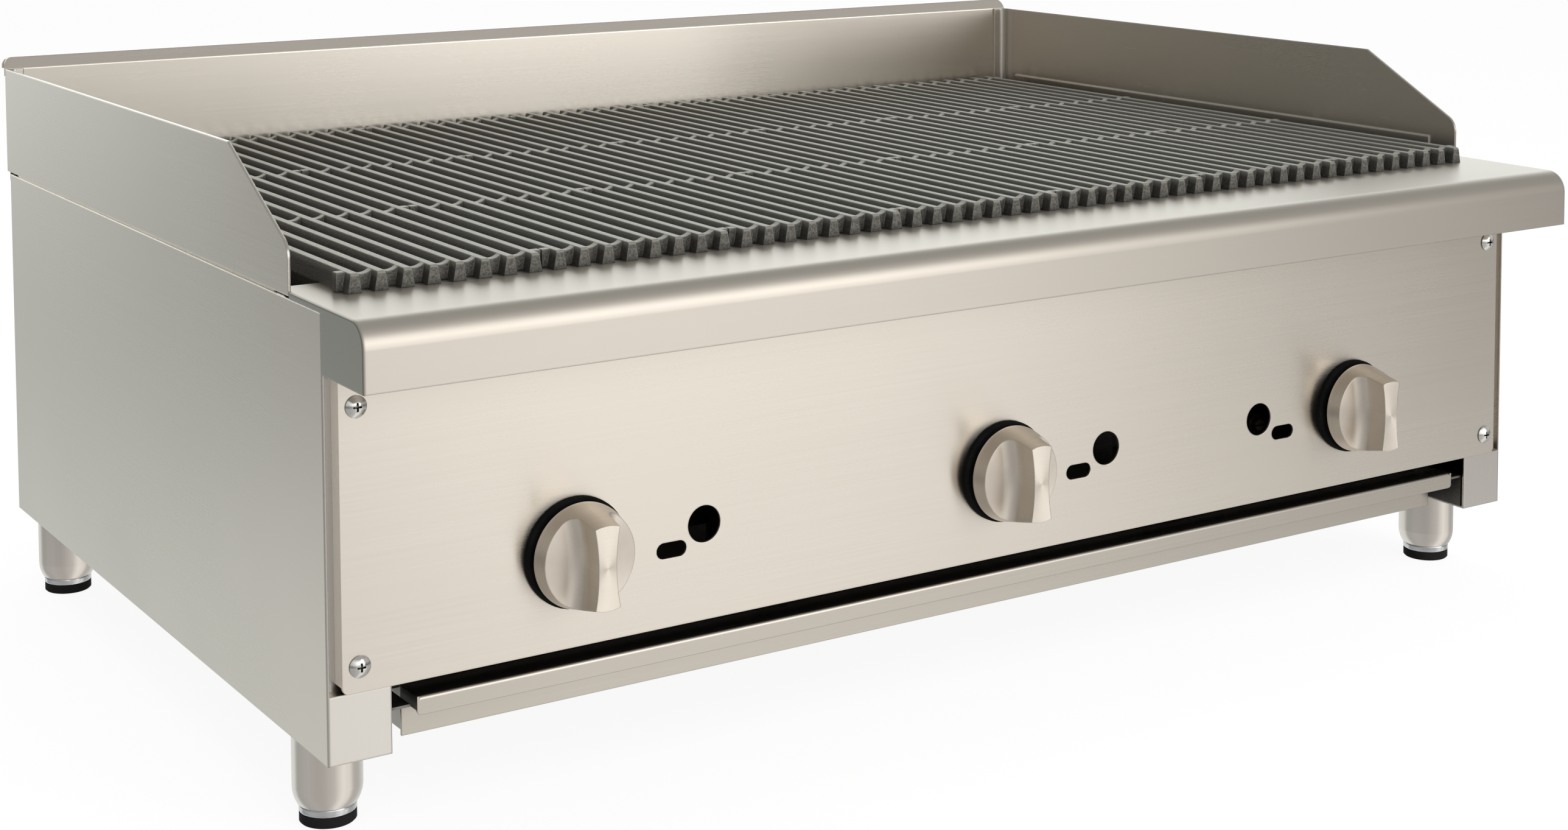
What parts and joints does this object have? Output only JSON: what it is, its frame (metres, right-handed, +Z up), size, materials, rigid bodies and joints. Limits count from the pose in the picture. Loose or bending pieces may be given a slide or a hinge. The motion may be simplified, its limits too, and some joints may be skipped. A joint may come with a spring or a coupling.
{
  "type": "countertop charbroiler grill",
  "caption": "Low stainless countertop gas charbroiler with cast iron bar grates, splash guard, bull nose rail, burner knobs, pull-out drip tray and levelling feet.",
  "frame": {"origin": "on the counter surface, under the middle of the overall footprint", "axes": "+X to the operator's right, +Y from the front rail to the back, +Z up"},
  "size_m": [0.914, 0.67, 0.38],
  "materials": {
    "casing": "brushed stainless sheet",
    "fasteners": "bright screws",
    "heat_stained_steel": "aluminised sheet, heat stained",
    "grate_iron": "seasoned casting",
    "burner_iron": "raw casting",
    "knob_nickel": "satin nickel",
    "bezel_black": "black",
    "stem_steel": "turned",
    "valve_brass": "machined",
    "pilot_aluminium": "drawn tube",
    "pipe_black": "black pipe",
    "foot_chrome": "polished",
    "pad_rubber": "moulded"
  },
  "bodies": {
    "chassis": {"left_side_panel": "casing", "right_side_panel": "casing", "back_panel": "casing", "rear_cross_rail": "casing", "front_rail": "casing", "control_panel": "casing", "guard_left": "casing", "guard_right": "casing", "guard_back": "casing", "tray_rails": "casing", "leg_sleeves": "casing", "panel_screws": "fasteners", "rear_screws": "fasteners", "leg_bolts": "fasteners", "firebox_sides": "heat_stained_steel", "firebox_front": "heat_stained_steel", "firebox_rear": "heat_stained_steel", "radiant_rails": "heat_stained_steel", "burner_rest": "heat_stained_steel", "manifold_brackets": "heat_stained_steel", "burner_1": "burner_iron", "burner_2": "burner_iron", "burner_3": "burner_iron", "radiants": "burner_iron", "knob_bezels": "bezel_black", "gas_valves": "valve_brass", "orifice_hoods": "valve_brass", "pilot_valves": "valve_brass", "pilot_burners": "pilot_aluminium", "gas_manifold": "pipe_black", "inlet_elbow": "pipe_black", "inlet_pipe": "pipe_black", "gas_inlet": "pipe_black"},
    "tray": {"drip_tray": "casing", "tray_handle": "casing", "tray_rivets": "fasteners"},
    "push_seat_1": {"spring_seat_1": "stem_steel"},
    "knob_1_assembly": {"knob_1": "knob_nickel", "valve_stem_1": "stem_steel"},
    "push_seat_2": {"spring_seat_2": "stem_steel"},
    "knob_2_assembly": {"knob_2": "knob_nickel", "valve_stem_2": "stem_steel"},
    "push_seat_3": {"spring_seat_3": "stem_steel"},
    "knob_3_assembly": {"knob_3": "knob_nickel", "valve_stem_3": "stem_steel"},
    "levelling_foot_1": {"foot_1": "foot_chrome", "foot_pad_1": "pad_rubber"},
    "levelling_foot_2": {"foot_2": "foot_chrome", "foot_pad_2": "pad_rubber"},
    "levelling_foot_3": {"foot_3": "foot_chrome", "foot_pad_3": "pad_rubber"},
    "levelling_foot_4": {"foot_4": "foot_chrome", "foot_pad_4": "pad_rubber"},
    "lift_grate_1": {"grate_1": "grate_iron"},
    "lift_grate_2": {"grate_2": "grate_iron"},
    "lift_grate_3": {"grate_3": "grate_iron"},
    "lift_grate_4": {"grate_4": "grate_iron"},
    "lift_grate_5": {"grate_5": "grate_iron"},
    "lift_grate_6": {"grate_6": "grate_iron"},
    "lift_grate_7": {"grate_7": "grate_iron"}
  },
  "joints": [
    {"name": "tray_slide", "type": "slide", "parent": "chassis", "child": "tray", "axis": [0, -1, 0], "range_m": [0, 0.42]},
    {"name": "knob_1_push", "type": "slide", "parent": "chassis", "child": "push_seat_1", "axis": [0, 1, 0], "range_m": [0, 0.003], "stiffness_N_per_m": 1500, "springref_m": -0.002},
    {"name": "knob_1_turn", "type": "hinge", "parent": "push_seat_1", "child": "knob_1_assembly", "pos_m": [-0.3078, -0.289, 0.143], "axis": [0, -1, 0], "range_deg": [0, 90]},
    {"name": "knob_2_push", "type": "slide", "parent": "chassis", "child": "push_seat_2", "axis": [0, 1, 0], "range_m": [0, 0.003], "stiffness_N_per_m": 1500, "springref_m": -0.002},
    {"name": "knob_2_turn", "type": "hinge", "parent": "push_seat_2", "child": "knob_2_assembly", "pos_m": [-0.003, -0.289, 0.143], "axis": [0, -1, 0], "range_deg": [0, 90]},
    {"name": "knob_3_push", "type": "slide", "parent": "chassis", "child": "push_seat_3", "axis": [0, 1, 0], "range_m": [0, 0.003], "stiffness_N_per_m": 1500, "springref_m": -0.002},
    {"name": "knob_3_turn", "type": "hinge", "parent": "push_seat_3", "child": "knob_3_assembly", "pos_m": [0.3018, -0.289, 0.143], "axis": [0, -1, 0], "range_deg": [0, 90]},
    {"name": "foot_1_level", "type": "slide", "parent": "chassis", "child": "levelling_foot_1", "axis": [0, 0, -1], "range_m": [0, 0.015]},
    {"name": "foot_2_level", "type": "slide", "parent": "chassis", "child": "levelling_foot_2", "axis": [0, 0, -1], "range_m": [0, 0.015]},
    {"name": "foot_3_level", "type": "slide", "parent": "chassis", "child": "levelling_foot_3", "axis": [0, 0, -1], "range_m": [0, 0.015]},
    {"name": "foot_4_level", "type": "slide", "parent": "chassis", "child": "levelling_foot_4", "axis": [0, 0, -1], "range_m": [0, 0.015]},
    {"name": "grate_1_lift", "type": "slide", "parent": "chassis", "child": "lift_grate_1", "axis": [0, 0, 1], "range_m": [0, 0.12]},
    {"name": "grate_2_lift", "type": "slide", "parent": "chassis", "child": "lift_grate_2", "axis": [0, 0, 1], "range_m": [0, 0.12]},
    {"name": "grate_3_lift", "type": "slide", "parent": "chassis", "child": "lift_grate_3", "axis": [0, 0, 1], "range_m": [0, 0.12]},
    {"name": "grate_4_lift", "type": "slide", "parent": "chassis", "child": "lift_grate_4", "axis": [0, 0, 1], "range_m": [0, 0.12]},
    {"name": "grate_5_lift", "type": "slide", "parent": "chassis", "child": "lift_grate_5", "axis": [0, 0, 1], "range_m": [0, 0.12]},
    {"name": "grate_6_lift", "type": "slide", "parent": "chassis", "child": "lift_grate_6", "axis": [0, 0, 1], "range_m": [0, 0.12]},
    {"name": "grate_7_lift", "type": "slide", "parent": "chassis", "child": "lift_grate_7", "axis": [0, 0, 1], "range_m": [0, 0.12]}
  ]
}
